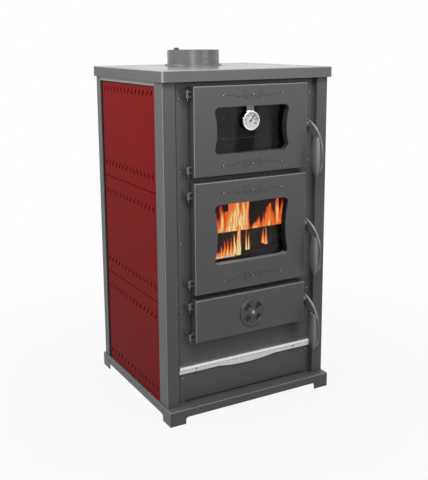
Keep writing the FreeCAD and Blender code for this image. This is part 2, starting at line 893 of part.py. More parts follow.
def air_rosette():
    rear = door_front - running_gap
    front = rosette_front()
    start = point(0, rear, ash_middle)
    disc = rod(rosette_diameter, start, -Y_AXIS, rosette_sheet)
    rim_depth = rosette_sheet + rosette_rim_lift
    rim = rod(rosette_diameter, start, -Y_AXIS, rim_depth)
    rim = rim.cut(rod(rosette_diameter - 2 * rosette_rim, start, -Y_AXIS, rim_depth + overrun))
    hub = rod(rosette_hub, start, -Y_AXIS, rim_depth)
    reach = rosette_diameter / 2 - rosette_rim / 2
    rib = rosette_rib / 2
    rib_front = front - rosette_rib_lift
    ribs = [block(-reach, reach, rib_front, rear, ash_middle - rib, ash_middle + rib),
            block(-rib, rib, rib_front, rear, ash_middle - reach, ash_middle + reach)]
    well = rod(rosette_screw_head + 2 * running_gap, point(0, front, ash_middle), -Y_AXIS,
               rosette_rib_lift + overrun)
    bore = rod(rosette_screw_shank + 2 * pin_clearance, point(0, rear + overrun, ash_middle), -Y_AXIS,
               rosette_sheet + 2 * overrun)
    groove = rosette_groove / 2
    groove_end = reach - rosette_rim
    grooves = []
    for side in (-1, 1):
        low, high = sorted((side * (rosette_hub / 2), side * groove_end))
        grooves += [block(low, high, rib_front - overrun, front, ash_middle - groove, ash_middle + groove),
                    block(-groove, groove, rib_front - overrun, front, ash_middle + low, ash_middle + high)]
    frames = rosette_ports(rib_front, rear, rosette_port_frame, 0)
    ports = rosette_ports(front - overrun, rear + overrun, 0, 0)
    return fuse([disc, rim, hub] + ribs + frames).cut(ports + grooves + [well, bore])


def rosette_screw():
    face = rosette_front() - running_gap
    shank = rod(rosette_screw_shank, point(0, door_front, ash_middle), -Y_AXIS, door_front - face)
    return fuse([shank, dome_screw(0, face, ash_middle, rosette_screw_head, rosette_screw_height)])


def thermo_front():
    return door_front + thermo_setback


def thermo_level():
    return oven_middle + oven_window - thermo_drop


def thermo_disc(diameter, setback, depth):
    return rod(diameter, point(0, thermo_front() + setback, thermo_level()), Y_AXIS, depth)


def thermometer_case():
    inner = thermo_diameter - 2 * thermo_bezel
    cup = thermo_disc(thermo_diameter, 0, thermo_depth)
    cup = cup.makeFillet(thermo_wall / 2, edges_at(cup, Y_AXIS, thermo_front()))
    back = thermo_front() + thermo_depth
    tab = block(-thermo_tab_width / 2, thermo_tab_width / 2, back - thermo_wall, back,
                thermo_level(), oven_middle + oven_window)
    return fuse([cup, tab]).cut(thermo_disc(inner, -overrun, thermo_depth - thermo_wall + overrun))


def thermometer_dial():
    inner = thermo_diameter - 2 * thermo_bezel
    face = thermo_depth - thermo_wall - dial_sheet
    return thermo_disc(inner, face, dial_sheet)


def thermometer_lens():
    inner = thermo_diameter - 2 * thermo_bezel
    return thermo_disc(inner, thermo_wall / 2, lens_sheet)


def thermometer_needle():
    rear = thermo_front() + thermo_depth - thermo_wall - dial_sheet - running_gap
    z = thermo_level()
    hand = block(-needle_width / 2, needle_width / 2, rear - needle_sheet, rear,
                 z - needle_tail, z + needle_length)
    hub = rod(needle_hub, point(0, rear, z), -Y_AXIS, 2 * needle_sheet)
    hand = fuse([hand, hub])
    hand.rotate(point(0, rear, z), Y_AXIS, needle_angle)
    return hand


def body_pieces():
    front_post = post(post_front_leg, front_post_side_leg, False, front_recess)
    rear_post = post(post_rear_leg, rear_post_side_leg, True, 0)
    pieces = {"base_frame": base_frame(), "front_plate": front_plate(), "rear_panel": rear_panel(),
              "front_post_left": front_post, "front_post_right": mirrored(front_post),
              "rear_post_left": rear_post, "rear_post_right": mirrored(rear_post),
              "side_rail_left": side_rail(), "side_rail_right": mirrored(side_rail()),
              "hob_plate": hob_plate(), "flue_collar": flue_collar(), "trim_rail": trim_rail(),
              "front_screws": front_screws(), "smoke_shell": smoke_shell(), "oven_box": oven_box(),
              "oven_rack": oven_rack(), "firebox_floor": firebox_floor(), "fire_grate": fire_grate(),
              "ash_floor": ash_floor(), "hinge_brackets": hinge_brackets(),
              "hinge_pins": hinge_pins(), "latch_keepers": latch_keepers()}
    pieces.update(side_panels())
    pieces.update(firebricks())
    pieces.update(ash_pan())
    return pieces


def door_pieces(name):
    pieces = {name + "_door_skin": door_skin(name), name + "_door_liner": door_liner(name),
              name + "_door_seal": door_seal(name), name + "_door_fasteners": door_fasteners(name),
              name + "_handle_lever": handle_lever(name), name + "_handle_grip": handle_grip(name)}
    if name in window_tall:
        pieces[name + "_door_glass"] = door_glass(name)
    return pieces


def all_pieces():
    pieces = body_pieces()
    for name in door_span:
        pieces.update(door_pieces(name))
    pieces["air_rosette"] = air_rosette()
    pieces["thermometer_case"] = thermometer_case()
    pieces["thermometer_dial"] = thermometer_dial()
    pieces["thermometer_needle"] = thermometer_needle()
    pieces["thermometer_lens"] = thermometer_lens()
    return pieces


def centring():
    """The move that brings the middle between the handle bows and the rear edge to y = 0."""
    bow = lever_outline("oven")[0].Curve
    front = bow.Center.y - bow.Radius
    rear = half_d + max(base_rear_overhang, hob_rear_overhang)
    return point(0, -(front + rear) / 2, 0)


os.makedirs("parts", exist_ok=True)
move = centring()
print("centring", move)
for node, shape in all_pieces().items():
    shape.translate(move)
    print(node, "solids", len(shape.Solids), "valid", shape.isValid(), "volume", round(shape.Volume))
    shape.exportStep("parts/" + node + ".step")
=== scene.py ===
# %% [markdown]
# # Dressing a wood cookstove
# The CAD model already holds every solid of the stove in its right place. This lesson loads it as a fixed
# frame, then gives each surface its finish and adds what the solids leave out: the fire, the seals, the dial
# markings and small trim. Nothing of the frame is moved.

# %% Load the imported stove
import bpy
import json
import math
from mathutils import Matrix, Vector


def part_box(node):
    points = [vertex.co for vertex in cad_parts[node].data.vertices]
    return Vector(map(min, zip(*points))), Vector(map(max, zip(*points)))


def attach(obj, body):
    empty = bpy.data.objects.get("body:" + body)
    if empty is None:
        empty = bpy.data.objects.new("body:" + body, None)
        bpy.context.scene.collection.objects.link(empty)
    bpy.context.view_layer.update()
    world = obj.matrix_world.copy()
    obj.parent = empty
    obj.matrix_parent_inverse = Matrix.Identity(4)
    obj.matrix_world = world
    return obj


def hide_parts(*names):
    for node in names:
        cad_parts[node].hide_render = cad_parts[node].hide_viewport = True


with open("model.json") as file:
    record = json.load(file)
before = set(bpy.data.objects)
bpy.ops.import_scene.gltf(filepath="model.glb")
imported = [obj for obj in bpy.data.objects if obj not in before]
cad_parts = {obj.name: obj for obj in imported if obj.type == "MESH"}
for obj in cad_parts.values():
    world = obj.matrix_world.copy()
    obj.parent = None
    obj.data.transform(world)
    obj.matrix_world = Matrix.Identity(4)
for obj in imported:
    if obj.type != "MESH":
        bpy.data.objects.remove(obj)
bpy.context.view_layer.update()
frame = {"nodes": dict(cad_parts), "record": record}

nodes = frame["nodes"]
slot_of = {s["node"]: s["material_slot"] for s in frame["record"]["subparts"]}
scene = bpy.context.scene

# %% [markdown]
# The loader leaves its nodes selected, and operators act on everything selected. So each new piece begins
# from a clean selection in Object Mode, by hand a click on empty space.

# %% Start from a clean selection
def start_clean():
    if bpy.context.object and bpy.context.object.mode != "OBJECT":
        bpy.ops.object.mode_set(mode="OBJECT")
    bpy.ops.object.select_all(action="DESELECT")


start_clean()
print("selected after cleaning:", len(bpy.context.selected_objects))

# %% [markdown]
# The photograph looks down a little at the stove from its left front. A lens of about 58 mm gives the same
# convergence, and a small shift keeps the upright edges nearly parallel, as they are in the picture.

# %% Camera
photo_size = (428, 480)
focal_px = 771.8
camera_place = (-1.0585, -1.8884, 0.9931)
turn, tilt, lean = math.radians(-29.25), math.radians(11.18), math.radians(-0.34)
camera_data = bpy.data.cameras.new("photo_camera")
camera_data.sensor_width = 36.0
camera_data.lens = focal_px / max(photo_size) * camera_data.sensor_width
camera_data.shift_y = -0.1
camera = bpy.data.objects.new("photo_camera", camera_data)
scene.collection.objects.link(camera)
upright = Matrix.Rotation(math.pi / 2 - tilt, 4, "X")
aim = Matrix.Rotation(turn, 4, "Z") @ upright @ Matrix.Rotation(lean, 4, "Z")
camera.matrix_world = Matrix.Translation(camera_place) @ aim
scene.camera = camera
print("lens", round(camera_data.lens, 2), "mm")

# %% [markdown]
# Every finish is a small net of shader nodes. By hand one adds a node, types its numbers and draws its links.
# Here one helper does all three: a socket that is given a number keeps it, and one that is given another
# socket is linked to it.

# %% Helpers for shader nodes
def plug(tree, node, sockets):
    for label, value in sockets.items():
        if isinstance(value, bpy.types.NodeSocket):
            tree.links.new(value, node.inputs[label])
        else:
            node.inputs[label].default_value = value


def add_node(tree, kind, sockets=None, **settings):
    node = tree.nodes.new("ShaderNode" + kind)
    for label, value in settings.items():
        setattr(node, label, value)
    plug(tree, node, sockets or {})
    return node


def math_node(tree, operation, *values):
    return add_node(tree, "Math", dict(enumerate(values)), operation=operation).outputs[0]


def map_range(tree, value, from_min, from_max, to_min=0.0, to_max=1.0):
    limits = {"From Min": from_min, "From Max": from_max, "To Min": to_min, "To Max": to_max}
    return add_node(tree, "MapRange", {"Value": value, **limits}).outputs[0]


print("node helpers ready")

# %% [markdown]
# The stove stands in a white studio. Camera, mirror and glass rays see plain white, while the light that
# falls on the paint comes from a dimmer grey surround, so a white background costs the paint none of its
# colour.

# %% Surround
scene.view_settings.view_transform = "Standard"
surround_light, seen_white = 0.08, 1.0
world = bpy.data.worlds.new("studio")
scene.world = world
world.use_nodes = True
tree = world.node_tree
tree.nodes.clear()
rays = add_node(tree, "LightPath").outputs
seen = math_node(tree, "MAXIMUM", rays["Is Camera Ray"], rays["Is Transmission Ray"])
seen = math_node(tree, "MAXIMUM", seen, rays["Is Glossy Ray"])
strength = map_range(tree, seen, 0.0, 1.0, surround_light, seen_white)
surround = add_node(tree, "Background", {"Color": (1, 1, 1, 1), "Strength": strength})
add_node(tree, "OutputWorld", {"Surface": surround.outputs[0]})
print("surround made")

# %% [markdown]
# The photograph is lit from the left, with softer light on the front. Large area lamps give such light,
# because a big source has no hard shadow. Two fills light the right side and the back, kept out of
# reflections so that they leave no glare on the hob.

# %% Lamps
def soft_lamp(name, place, target, size, watts):
    data = bpy.data.lights.new(name, "AREA")
    data.shape = "RECTANGLE"
    data.size, data.size_y = size
    data.energy = watts
    lamp = bpy.data.objects.new(name, data)
    scene.collection.objects.link(lamp)
    away = Vector(target) - Vector(place)
    facing = away.to_track_quat("-Z", "Y").to_matrix().to_4x4()
    lamp.matrix_world = Matrix.Translation(place) @ facing
    return lamp


soft_lamp("left_window", (-1.4, 0.1, 1.9), (-0.2, 0, 0.95), (1.1, 1.1), 37)
soft_lamp("front", (-0.3, -1.15, 1.8), (0, -0.2, 0.75), (1.2, 0.6), 21)
soft_lamp("front_right", (1.0, -1.9, 1.4), (0, -0.2, 0.6), (0.8, 0.8), 10)
soft_lamp("near_camera", (-1.2, -2.0, 1.3), (0, 0, 0.75), (0.5, 0.5), 10)
for name, place in (("right_fill", (2.3, 0.2, 1.7)), ("rear_fill", (0.3, 2.6, 1.8))):
    fill = soft_lamp(name, place, (0, 0, 0.6), (1.4, 1.4), 42)
    fill.visible_glossy = False

# %% [markdown]
# The floor is mostly its own white, so that it meets the background without an edge. A small share of it is
# plain grey paint, which takes light and shadow, and that share fades out away from the stove.

# %% Floor
start_clean()
floor_size, near_stove, far_off, own_white = 16, 0.35, 1.3, 0.93
bpy.ops.mesh.primitive_grid_add(x_subdivisions=8, y_subdivisions=8, size=floor_size)
floor = bpy.context.object
floor.name = "studio_floor"
floor_paint = bpy.data.materials.new("studio_white")
floor_paint.use_nodes = True
tree = floor_paint.node_tree
tree.nodes.clear()
diffuse = add_node(tree, "BsdfDiffuse", {"Color": (0.2, 0.2, 0.2, 1)})
glow = add_node(tree, "Emission", {"Color": (1, 1, 1, 1)})
rays = add_node(tree, "LightPath").outputs
eye = math_node(tree, "MAXIMUM", rays["Is Camera Ray"], rays["Is Glossy Ray"])
place = add_node(tree, "TexCoord").outputs["Object"]
reach = add_node(tree, "VectorMath", {0: place}, operation="LENGTH").outputs["Value"]
share = math_node(tree, "MULTIPLY", eye, map_range(tree, reach, near_stove, far_off, own_white, 1.0))
mix = add_node(tree, "MixShader", {"Fac": share, 1: diffuse.outputs[0], 2: glow.outputs[0]})
add_node(tree, "OutputMaterial", {"Surface": mix.outputs[0]})
floor.data.materials.append(floor_paint)
print("floor", floor.dimensions.x, "m wide")

# %% [markdown]
# Several finishes share the same effects: a slight cloudiness, a fine grain, brushed lines, and soot. Each is
# built once as a node group with named sockets, and every material that uses it sets its own amounts. The
# groups only give out colours and values, and the shader itself stays in the material.

# %% Helpers for node groups
def shader_group(name, inputs, outputs):
    group = bpy.data.node_groups.new(name, "ShaderNodeTree")
    for label, kind, value in inputs:
        socket = group.interface.new_socket(label, in_out="INPUT", socket_type="NodeSocket" + kind)
        if value is not None:
            socket.default_value = value
    for label, kind in outputs:
        group.interface.new_socket(label, in_out="OUTPUT", socket_type="NodeSocket" + kind)
    return group, group.nodes.new("NodeGroupInput").outputs, group.nodes.new("NodeGroupOutput")


def noise(tree, vector, scale, detail=2.0, rough=0.5, distortion=0.0):
    amounts = {"Scale": scale, "Detail": detail, "Roughness": rough, "Distortion": distortion}
    return add_node(tree, "TexNoise", {"Vector": vector, **amounts}).outputs["Fac"]


def sway(tree, value, amount, around):
    """A noise value turned into a swing of some amount around a level."""
    return math_node(tree, "MULTIPLY_ADD", math_node(tree, "SUBTRACT", value, 0.5), amount, around)


def tint(tree, colour, value):
    """A colour made lighter or darker by a value."""
    return add_node(tree, "VectorMath", {0: colour, "Scale": value}, operation="SCALE").outputs[0]


film_inputs = [("Vector", "Vector", None), ("Colour", "Color", None)]
film_outputs = [("Colour", "Color"), ("Roughness", "Float"), ("Height", "Float")]
print("group helpers ready")

# %% [markdown]
# Stove paint is baked enamel or powder. From close by it is never one flat colour: it has soft clouds, tiny
# flecks and a faint orange peel. Three noises of different size give these, and the flecks also vary the
# gloss.

# %% Cloudy, grained film for enamel and paint
cloud_scale, fleck_scale, peel_scale = 6.0, 650.0, 240.0
fleck_tint, fleck_gloss, fleck_height = 0.22, 0.25, 0.35
enamel_film, given, made = shader_group(
    "enamel_film", film_inputs + [("Cloud", "Float", 0.16), ("Gloss", "Float", 0.42)], film_outputs)
cloud = noise(enamel_film, given["Vector"], cloud_scale, 4.0, 0.6)
fleck = noise(enamel_film, given["Vector"], fleck_scale)
peel = noise(enamel_film, given["Vector"], peel_scale, 1.0)
level = sway(enamel_film, cloud, given["Cloud"], sway(enamel_film, fleck, fleck_tint, 1.0))
plug(enamel_film, made, {
    "Colour": tint(enamel_film, given["Colour"], level),
    "Roughness": sway(enamel_film, fleck, fleck_gloss, given["Gloss"]),
    "Height": math_node(enamel_film, "MULTIPLY_ADD", fleck, fleck_height, peel)})
print("enamel film has", len(enamel_film.nodes), "nodes")

# %% [markdown]
# Bare steel here is brushed along the width of the stove. A noise that is squeezed in two directions becomes
# long fine lines, and a second, larger noise smears the gloss as fingers and cloths do.

# %% Brushed lines for steel
line_scale, smear_scale = (4.0, 520.0, 520.0), 9.0
line_tint, smear_gloss = 0.16, 0.2
brushed_lines, given, made = shader_group(
    "brushed_lines", film_inputs + [("Gloss", "Float", 0.25)], film_outputs)
squeeze = add_node(brushed_lines, "Mapping", {"Vector": given["Vector"], "Scale": line_scale})
lines = noise(brushed_lines, squeeze.outputs[0], 1.0, 3.0)
smear = noise(brushed_lines, given["Vector"], smear_scale, 3.0)
plug(brushed_lines, made, {
    "Colour": tint(brushed_lines, given["Colour"], sway(brushed_lines, lines, line_tint, 1.0)),
    "Roughness": sway(brushed_lines, smear, smear_gloss, given["Gloss"]),
    "Height": lines})
print("brushed lines have", len(brushed_lines.nodes), "nodes")

# %% [markdown]
# Whatever the smoke touches turns black in patches. A broad noise lays the patches, with an even grey of soot
# left between them, and a fine one adds grit to the surface.

# %% Soot for everything near the fire
patch_scale, grit_scale, even_share = 14.0, 420.0, 0.8
patch_start, patch_full = 0.3, 0.75
grit_rough, least_rough = 0.2, 0.72
soot_film, given, made = shader_group("soot_film", film_inputs + [("Soot", "Float", 0.8)], film_outputs)
patch = noise(soot_film, given["Vector"], patch_scale, 5.0, 0.6)
grit = noise(soot_film, given["Vector"], grit_scale, 3.0)
patches = map_range(soot_film, patch, patch_start, patch_full)
black = math_node(soot_film, "MULTIPLY", patches, given["Soot"])
even = math_node(soot_film, "MULTIPLY", given["Soot"], even_share)
clean_share = math_node(soot_film, "SUBTRACT", 1.0, math_node(soot_film, "MAXIMUM", black, even))
plug(soot_film, made, {
    "Colour": tint(soot_film, given["Colour"], clean_share),
    "Roughness": math_node(soot_film, "MULTIPLY_ADD", grit, grit_rough, least_rough),
    "Height": math_node(soot_film, "ADD", patch, grit)})
print("soot film has", len(soot_film.nodes), "nodes")

# %% [markdown]
# Rounded edges are made lighter, partly for paint rubbed thin where hands and cloths pass and partly as a
# painted highlight where light runs along the curve. On flat sheet a normal points along one axis, so a
# normal that leans between axes marks a rounded edge, and there the colour is lifted.

# %% Worn paint and painted highlights on rounded edges
def extreme_part(tree, vector, operation):
    """The largest or smallest of a vector's three parts."""
    parts = add_node(tree, "SeparateXYZ", {0: vector}).outputs
    return math_node(tree, operation, math_node(tree, operation, parts["X"], parts["Y"]), parts["Z"])


flat_limit, round_limit = 0.97, 0.72
edge_wear_and_highlight, given, made = shader_group(
    "edge_wear_and_highlight",
    [("Normal", "Vector", None), ("Colour", "Color", (0.1, 0.1, 0.1, 1)), ("Amount", "Float", 0.8)],
    [("Colour", "Color")])
facing = add_node(edge_wear_and_highlight, "VectorMath", {0: given["Normal"]}, operation="ABSOLUTE").outputs[0]
rounded = map_range(edge_wear_and_highlight, extreme_part(edge_wear_and_highlight, facing, "MAXIMUM"), flat_limit, round_limit)
lift = math_node(edge_wear_and_highlight, "MULTIPLY_ADD", rounded, given["Amount"], 1.0)
plug(edge_wear_and_highlight, made, {"Colour": tint(edge_wear_and_highlight, given["Colour"], lift)})
print("edge wear has", len(edge_wear_and_highlight.nodes), "nodes")

# %% [markdown]
# A finish is a Principled shader fed by one of those groups. The bump stays shallow, a fraction of a
# millimetre, because powder paint and brushed steel are nearly flat. Numbers that don't vary are set on the
# shader itself.

# %% Build a finish from a group
finish = {}
bump_strength = 0.4


def node_material(name):
    """A new material, its node tree and its shader."""
    material = bpy.data.materials.new(name)
    material.use_nodes = True
    return material, material.node_tree, material.node_tree.nodes["Principled BSDF"]


def film_layer(tree, place, group, colour, settings):
    sockets = {"Vector": place["Object"], "Colour": (*colour, 1), **settings}
    return add_node(tree, "Group", sockets, node_tree=group).outputs


def wear_and_highlight(tree, place, paint, amount):
    sockets = {"Normal": place["Normal"], "Colour": paint, "Amount": amount}
    return add_node(tree, "Group", sockets, node_tree=edge_wear_and_highlight).outputs["Colour"]


def make_finish(slot, group, colour, settings, height, fixed, wear_shine=0.0):
    material, tree, shader = node_material(slot)
    place = add_node(tree, "TexCoord").outputs
    layer = film_layer(tree, place, group, colour, settings)
    # Rounded edges are lifted for wear and as a painted highlight.
    paint = wear_and_highlight(tree, place, layer["Colour"], wear_shine) if wear_shine else layer["Colour"]
    bump = add_node(tree, "Bump", {"Strength": bump_strength, "Distance": height, "Height": layer["Height"]})
    plug(tree, shader, {
        "Base Color": paint, "Roughness": layer["Roughness"], "Normal": bump.outputs[0], **fixed})
    finish[slot] = material


print("finish helpers ready")

# %% [markdown]
# The body is dark grey enamel, and the collar and the handles differ from it a little. The plate behind the
# doors is a little darker, as painted shade for its recess, the scroll is darker still, as painted shade
# along its pressed lines, and the rails above the red panels are lighter, as painted light. Each row holds a
# colour, the amount of cloud, the roughness, the bump's height in metres, how strongly the surface mirrors,
# and how much its edges are lifted, for wear and as a painted highlight.

# %% Paints
paints = (("grey_enamel", (0.08, 0.08, 0.081), 0.12, 0.36, 0.00025, 0.25, 2.4),
          ("collar_enamel", (0.068, 0.068, 0.069), 0.12, 0.32, 0.0002, 0.8, 0.0),
          ("shaded_plate_enamel", (0.076, 0.076, 0.077), 0.12, 0.4, 0.00025, 0.25, 2.4),
          ("scroll_shade_enamel", (0.052, 0.052, 0.053), 0.12, 0.5, 0.00025, 0.25, 0.0),
          ("red_enamel", (0.172, 0.0072, 0.0073), 0.16, 0.5, 0.0002, 0.03, 0.0),
          ("lit_side_rail_enamel", (0.17, 0.168, 0.166), 0.1, 0.3, 0.00012, 0.5, 0.8),
          ("handle_enamel", (0.095, 0.095, 0.097), 0.1, 0.3, 0.00012, 0.5, 0.8),
          ("oven_enamel", (0.012, 0.012, 0.013), 0.2, 0.4, 0.00002, 0.25, 0.0),
          ("dial_paint", (0.85, 0.85, 0.83), 0.05, 0.5, 0.00005, 0.5, 0.0),
          ("needle_paint", (0.02, 0.02, 0.02), 0.05, 0.4, 0.00005, 0.5, 0.0))
for slot, colour, cloudiness, gloss, height, mirror, wear_shine in paints:
    make_finish(slot, enamel_film, colour, {"Cloud": cloudiness, "Gloss": gloss}, height,
                {"Specular IOR Level": mirror}, wear_shine)
print("paints:", len(paints))

# %% [markdown]
# The trim rail, the screws, the oven rack and the thermometer's bezel are bare metal, from brushed to
# polished. The smoke's own rooms are sooty sheet, cast iron and brick. Each row holds a colour, its roughness
# or its soot, and the bump's height.

# %% Metals and sooty surfaces
metals = (("rail_steel", (0.52, 0.52, 0.53), 0.4, 0.00008),
          ("screw_steel", (0.21, 0.21, 0.214), 0.34, 0.00005),
          ("rack_wire", (0.16, 0.16, 0.164), 0.25, 0.00003),
          ("bezel_chrome", (0.85, 0.85, 0.86), 0.12, 0.00002))
for slot, colour, gloss, height in metals:
    make_finish(slot, brushed_lines, colour, {"Gloss": gloss}, height, {"Metallic": 1.0})
sooty = (("black_sheet", (0.05, 0.048, 0.046), 0.7, 0.0003),
         ("grate_iron", (0.07, 0.066, 0.06), 0.6, 0.0006),
         ("firebrick", (0.2, 0.16, 0.12), 0.95, 0.0012))
for slot, colour, soot, height in sooty:
    make_finish(slot, soot_film, colour, {"Soot": soot}, height, {"Specular IOR Level": 0.25})
print("finishes:", sorted(finish))

# %% [markdown]
# The windows are clear ceramic glass. It stays smooth, but greasy smoke leaves a faint haze, so its roughness
# has a little noise while its transmission stays plain.

# %% Window glass
haze_scale, haze_amount, haze_least = 11.0, 0.05, -0.005
glass, tree, shader = node_material("window_glass")
place = add_node(tree, "TexCoord").outputs
haze = noise(tree, place["Object"], haze_scale, 4.0)
plug(tree, shader, {
    "Base Color": (0.8, 0.81, 0.82, 1), "Transmission Weight": 1.0, "IOR": 1.45,
    "Specular Tint": (0.2, 0.2, 0.2, 1),
    "Roughness": math_node(tree, "MULTIPLY_ADD", haze, haze_amount, haze_least)})
finish["window_glass"] = glass
print("glass made")

# %% [markdown]
# The oven's glass is smoked, and a cloth has left upright streaks on it. It is a copy of the clear glass with
# a darker colour, and a stretched noise in the clear coat shows the streaks only where light is mirrored.

# %% Smoked oven glass with wiped streaks
wipe_scale, wipe_start, wipe_full, wipe_coat = (16.0, 1.0, 1.6), 0.46, 0.58, 0.32
smoked = glass.copy()
smoked.name = "smoked_glass"
tree = smoked.node_tree
place = add_node(tree, "TexCoord").outputs
pull = add_node(tree, "Mapping", {"Vector": place["Object"], "Scale": wipe_scale})
wipe = map_range(tree, noise(tree, pull.outputs[0], 1.0, 1.0), wipe_start, wipe_full, 0.0, wipe_coat)
plug(tree, tree.nodes["Principled BSDF"], {"Base Color": (0.3, 0.3, 0.31, 1), "Coat Weight": wipe})
print("oven glass made")

# %% [markdown]
# The door seals are black braided glass fibre. Two sets of waves, slanted opposite ways, cross like the
# strands of a braid, and the higher of the two is the strand on top. A colour ramp darkens the hollows
# between them as painted shade.

# %% Braided seal rope
def colour_ramp(tree, value, stops):
    ramp = add_node(tree, "ValToRGB", {"Fac": value})
    elements = ramp.color_ramp.elements
    while len(elements) < len(stops):
        elements.new(0.5)
    for element, (position, colour) in zip(elements, stops):
        element.position = position
        element.color = (*colour, 1)
    return ramp.outputs["Color"]


strand_slant, strand_scale = 0.75, 160.0
rope, tree, shader = node_material("rope_seal")
place = add_node(tree, "TexCoord").outputs
strands = []
for angle in (strand_slant, -strand_slant):
    slant = add_node(tree, "Mapping", {"Vector": place["Object"], "Rotation": (0, angle, 0)})
    wave = {"Vector": slant.outputs[0], "Scale": strand_scale, "Distortion": 1.5, "Detail": 1.0}
    strands.append(add_node(tree, "TexWave", wave).outputs["Fac"])
braid = math_node(tree, "MAXIMUM", *strands)
fibre_and_hollow_shade = colour_ramp(tree, braid, ((0.0, (0.012, 0.012, 0.012)), (1.0, (0.075, 0.073, 0.07))))
bump = add_node(tree, "Bump", {"Distance": 0.0008, "Height": braid})
plug(tree, shader, {"Base Color": fibre_and_hollow_shade, "Roughness": 0.95, "Normal": bump.outputs[0]})
finish["rope_seal"] = rope
print("rope made")

# %% [markdown]
# The hob is one pressed sheet: its top is bare steel, rubbed bright by pans, and its folded rim is painted
# like the body. One material can do both, because the face's own direction tells top from rim.

# %% Hob with a steel top and a painted rim
def mix_colour(tree, mask, first, second):
    return add_node(tree, "Mix", {0: mask, 6: first, 7: second}, data_type="RGBA").outputs[2]


rim_slope, top_slope, rim_wear_shine, metal_share = 0.75, 0.95, 1.6, 0.86
hob, tree, shader = node_material("hob_steel")
place = add_node(tree, "TexCoord").outputs
upward = add_node(tree, "SeparateXYZ", {0: place["Normal"]}).outputs["Z"]
top_mask = map_range(tree, upward, rim_slope, top_slope)
rim = film_layer(tree, place, enamel_film, (0.135, 0.135, 0.137), {"Gloss": 0.34})
top = film_layer(tree, place, brushed_lines, (0.3, 0.3, 0.305), {"Gloss": 0.22})
# The rim's rounded corners are lightened as a painted highlight, and a little for wear.
rim_paint = wear_and_highlight(tree, place, rim["Colour"], rim_wear_shine)
rough = add_node(tree, "Mix", {0: top_mask, 2: rim["Roughness"], 3: top["Roughness"]}).outputs[0]
plug(tree, shader, {
    "Base Color": mix_colour(tree, top_mask, rim_paint, top["Colour"]),
    "Roughness": rough,
    "Metallic": math_node(tree, "MULTIPLY", top_mask, metal_share),
    "Specular IOR Level": 0.0})
finish["hob_steel"] = hob
print("hob finish has", len(tree.nodes), "nodes")

# %% [markdown]
# The record names a finish for every solid, so one loop dresses them all. A few pieces take a finish of their
# own: the cast collar and hinges, the oven's glass, and the rails above the red panels, whose lighter paint
# is painted light.

# %% Dress every CAD node by its slot
def dress(name, material):
    nodes[name].data.materials.clear()
    nodes[name].data.materials.append(material)


for name in nodes:
    dress(name, finish[slot_of[name]])
for name in ("flue_collar", "hinge_brackets"):
    dress(name, finish["collar_enamel"])
for name in ("side_rail_left", "side_rail_right"):
    dress(name, finish["lit_side_rail_enamel"])
dress("oven_door_glass", smoked)
print("dressed", len(nodes), "nodes in", len(set(slot_of.values())), "finishes")

# %% [markdown]
# Some parts carry two finishes on one solid, such as a window frame that is sooty inside. A small group
# tells whether a point lies inside a box, and that mask picks the second colour.

# %% Mask of a box
inside_box, given, made = shader_group(
    "inside_box", [("Vector", "Vector", None), ("Low", "Vector", None), ("High", "Vector", None)],
    [("Mask", "Float")])
above = add_node(inside_box, "VectorMath", {0: given["Vector"], 1: given["Low"]}, operation="SUBTRACT")
below = add_node(inside_box, "VectorMath", {0: given["High"], 1: given["Vector"]}, operation="SUBTRACT")
depth = add_node(inside_box, "VectorMath", {0: above.outputs[0], 1: below.outputs[0]}, operation="MINIMUM")
least = extreme_part(inside_box, depth.outputs[0], "MINIMUM")
plug(inside_box, made, {"Mask": math_node(inside_box, "GREATER_THAN", least, 0.0)})
print("box mask has", len(inside_box.nodes), "nodes")

# %% [markdown]
# The second colour goes on a copy of the first finish, so grain, gloss and bump run on through the border, as
# they do on one sheet that is painted twice.

# %% Second colour inside a box
top_limit = 0.7


def paint_over(material, mask, colour):
    tree = material.node_tree
    shader = tree.nodes["Principled BSDF"]
    paint = shader.inputs["Base Color"].links[0].from_socket
    plug(tree, shader, {"Base Color": mix_colour(tree, mask, paint, (*colour, 1))})


def two_tone(name, base, colour, low, high, keep_tops=False):
    """A copy of a finish with another colour inside a box, and its upward faces left alone if asked."""
    material = base.copy()
    material.name = name
    tree = material.node_tree
    place = add_node(tree, "TexCoord").outputs
    box = {"Vector": place["Object"], "Low": low, "High": high}
    mask = add_node(tree, "Group", box, node_tree=inside_box).outputs["Mask"]
    if keep_tops:
        upward = add_node(tree, "SeparateXYZ", {0: place["Normal"]}).outputs["Z"]
        mask = math_node(tree, "MULTIPLY", mask, math_node(tree, "LESS_THAN", upward, top_limit))
    paint_over(material, mask, colour)
    print("two-tone finish", name)
    return material


def grey(level):
    return (level, level, level)


print("two-tone helpers ready")

# %% [markdown]
# The cut edges of the two windows are dark, partly from soot and partly as painted shade inside the recess.
# The fire window's sill, the lower edge of its frame, carries a painted highlight.

# %% Window frames
lip, sill_lip, sill_rise, sill_below, sill_above = 0.0035, 0.002, 0.012, 0.004, 0.003
for door, soot in (("oven", 0.04), ("fire", 0.008)):
    low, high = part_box(door + "_door_glass")
    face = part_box(door + "_door_skin")[0].y
    frame_box = ((low.x, face + lip, low.z), (high.x, high.y, high.z))
    framed = two_tone(door + "_window_frame", finish["grey_enamel"], grey(soot), *frame_box, door == "fire")
    if door == "fire":
        sill_z = low.z + sill_rise
        sill_box = ((low.x, face + sill_lip, sill_z - sill_below), (high.x, high.y, sill_z + sill_above))
        framed = two_tone("fire_window_lit_sill", framed, grey(0.17), *sill_box)
    dress(door + "_door_skin", framed)
